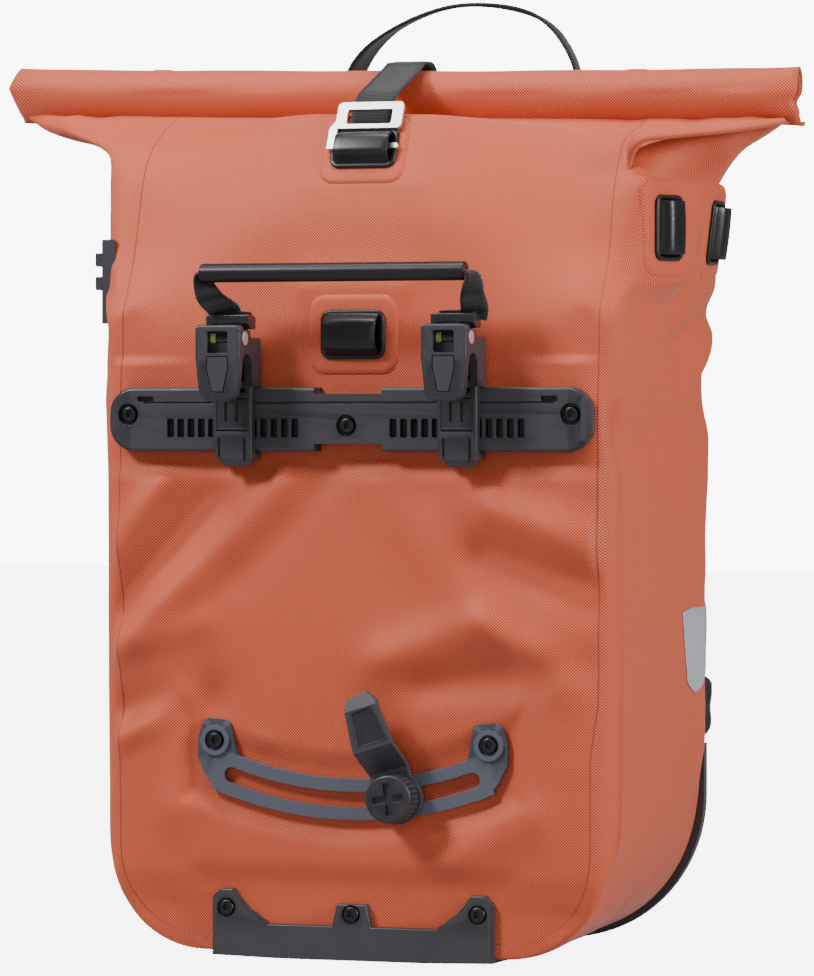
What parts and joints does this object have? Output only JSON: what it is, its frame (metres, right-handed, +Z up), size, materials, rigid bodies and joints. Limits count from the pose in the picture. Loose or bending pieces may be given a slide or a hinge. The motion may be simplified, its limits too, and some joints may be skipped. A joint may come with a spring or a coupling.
{
  "type": "pannier bag",
  "caption": "Roll-top waterproof pannier bag with a hook rail, lifting handle and swivelling lower fin on one face and a backpack harness on the other.",
  "frame": {"origin": "on the ground under the middle of the object's bounding box", "axes": "+X to the right as the rack side is seen, +Y from the rack side to the wearer's side, +Z up"},
  "size_m": [0.49, 0.2642, 0.572],
  "materials": {
    "coated_fabric": "fine woven, matt coated, burnt orange",
    "webbing": "ribbed black webbing",
    "padding": "black air mesh and fabric over foam",
    "black_rubber": "soft black rubber",
    "stiff_board": "grey sheet plastic",
    "black_plastic": "finely grained black moulding",
    "slate_plastic": "slate-grey moulding",
    "lever_plastic": "polished black moulding",
    "black_screws": "blackened steel",
    "bright_pins": "bright steel",
    "spring_ring": "yellow-green moulding",
    "bright_aluminium": "satin aluminium",
    "reflective_panel": "silver-grey reflective film"
  },
  "bodies": {
    "root": {"front_panel": "coated_fabric", "rear_panel": "coated_fabric", "side_panel_left": "coated_fabric", "side_panel_right": "coated_fabric", "base_panel": "coated_fabric", "neck_front": "coated_fabric", "neck_rear": "coated_fabric", "wing_left": "coated_fabric", "wing_right": "coated_fabric", "roll_closure": "coated_fabric", "closure_strap": "webbing", "lower_webbing": "webbing", "hip_webbing": "webbing", "back_pads": "padding", "harness_yoke": "padding", "shoulder_strap_left": "padding", "shoulder_strap_right": "padding", "hip_fin_left": "padding", "hip_fin_right": "padding", "centre_loop": "black_rubber", "closure_loop": "black_rubber", "side_loops_right": "black_rubber", "side_loop_left": "black_rubber", "front_board": "stiff_board", "back_board": "stiff_board", "roll_stiffener": "stiff_board", "hook_rail": "black_plastic", "base_guard": "black_plastic", "rear_edge_frame": "black_plastic", "side_buckle": "black_plastic", "ladder_locks": "black_plastic", "hip_buckle_socket": "black_plastic", "swing_track": "slate_plastic", "rail_screws": "black_screws", "track_screws": "black_screws", "guard_screws": "black_screws", "frame_screws": "black_screws", "inner_nuts": "black_screws", "reflectors": "reflective_panel"},
    "hook_left": {"hook_body_left": "black_plastic", "lever_pin_left": "bright_pins", "lever_spring_left": "spring_ring"},
    "lever_left": {"hook_lever_left": "lever_plastic"},
    "lock_left": {"hook_lock_left": "black_plastic"},
    "hook_right": {"hook_body_right": "black_plastic", "lever_pin_right": "bright_pins", "lever_spring_right": "spring_ring"},
    "lever_right": {"hook_lever_right": "lever_plastic"},
    "lock_right": {"hook_lock_right": "black_plastic"},
    "carry_handle": {"grip_tube": "black_rubber", "grip_webbing": "webbing"},
    "fin_carrier": {"fin_slider": "black_plastic"},
    "fin": {"fin": "black_plastic"},
    "fin_knob": {"fin_knob": "black_plastic"},
    "closure_buckle": {"closure_buckle": "bright_aluminium"},
    "grab_handle": {"grab_handle": "webbing"},
    "hip_plug": {"hip_buckle_plug": "black_plastic"}
  },
  "joints": [
    {"name": "hook_slide_left", "type": "slide", "parent": "root", "child": "hook_left", "axis": [1, 0, 0], "range_m": [-0.026, 0.026]},
    {"name": "lever_tilt_left", "type": "hinge", "parent": "hook_left", "child": "lever_left", "pos_m": [-0.069, -0.123, 0.362], "axis": [1, 0, 0], "range_deg": [0, 25.1]},
    {"name": "lock_flap_left", "type": "hinge", "parent": "hook_left", "child": "lock_left", "pos_m": [-0.069, -0.1072, 0.3105], "axis": [1, 0, 0], "range_deg": [0, 70]},
    {"name": "hook_slide_right", "type": "slide", "parent": "root", "child": "hook_right", "axis": [1, 0, 0], "range_m": [-0.026, 0.026]},
    {"name": "lever_tilt_right", "type": "hinge", "parent": "hook_right", "child": "lever_right", "pos_m": [0.07, -0.123, 0.362], "axis": [1, 0, 0], "range_deg": [0, 25.1]},
    {"name": "lock_flap_right", "type": "hinge", "parent": "hook_right", "child": "lock_right", "pos_m": [0.07, -0.1072, 0.3105], "axis": [1, 0, 0], "range_deg": [0, 70]},
    {"name": "handle_pull", "type": "slide", "parent": "root", "child": "carry_handle", "axis": [0, -0.67, 0.7424], "range_m": [0, 0.007], "stiffness_N_per_m": 900},
    {"name": "track_swing", "type": "hinge", "parent": "root", "child": "fin_carrier", "pos_m": [0, -0.093, 0.32], "axis": [0, 1, 0], "range_deg": [-9.8, 25]},
    {"name": "fin_turn", "type": "hinge", "parent": "fin_carrier", "child": "fin", "pos_m": [0.02989, -0.0985, 0.09599], "axis": [0, 1, 0], "range_deg": [-75, 75]},
    {"name": "knob_turn", "type": "hinge", "parent": "fin_carrier", "child": "fin_knob", "pos_m": [0.02989, -0.108, 0.09599], "axis": [0, 1, 0], "continuous": true},
    {"name": "buckle_unhook", "type": "slide", "parent": "root", "child": "closure_buckle", "axis": [-1, 0, 0], "range_m": [0, 0.041]},
    {"name": "grab_handle_fold", "type": "hinge", "parent": "root", "child": "grab_handle", "pos_m": [0, 0.1045, 0.3843], "axis": [1, 0, 0], "range_deg": [-85, 12], "stiffness_Nm_per_rad": 0.06},
    {"name": "hip_plug_pull", "type": "slide", "parent": "root", "child": "hip_plug", "axis": [-1, 0, 0], "range_m": [0, 0.026]}
  ],
  "couplings": [
    {"joint": "lever_tilt_left", "follows": "handle_pull", "rad_per_m": 62.5},
    {"joint": "lever_tilt_right", "follows": "handle_pull", "rad_per_m": 62.5}
  ]
}
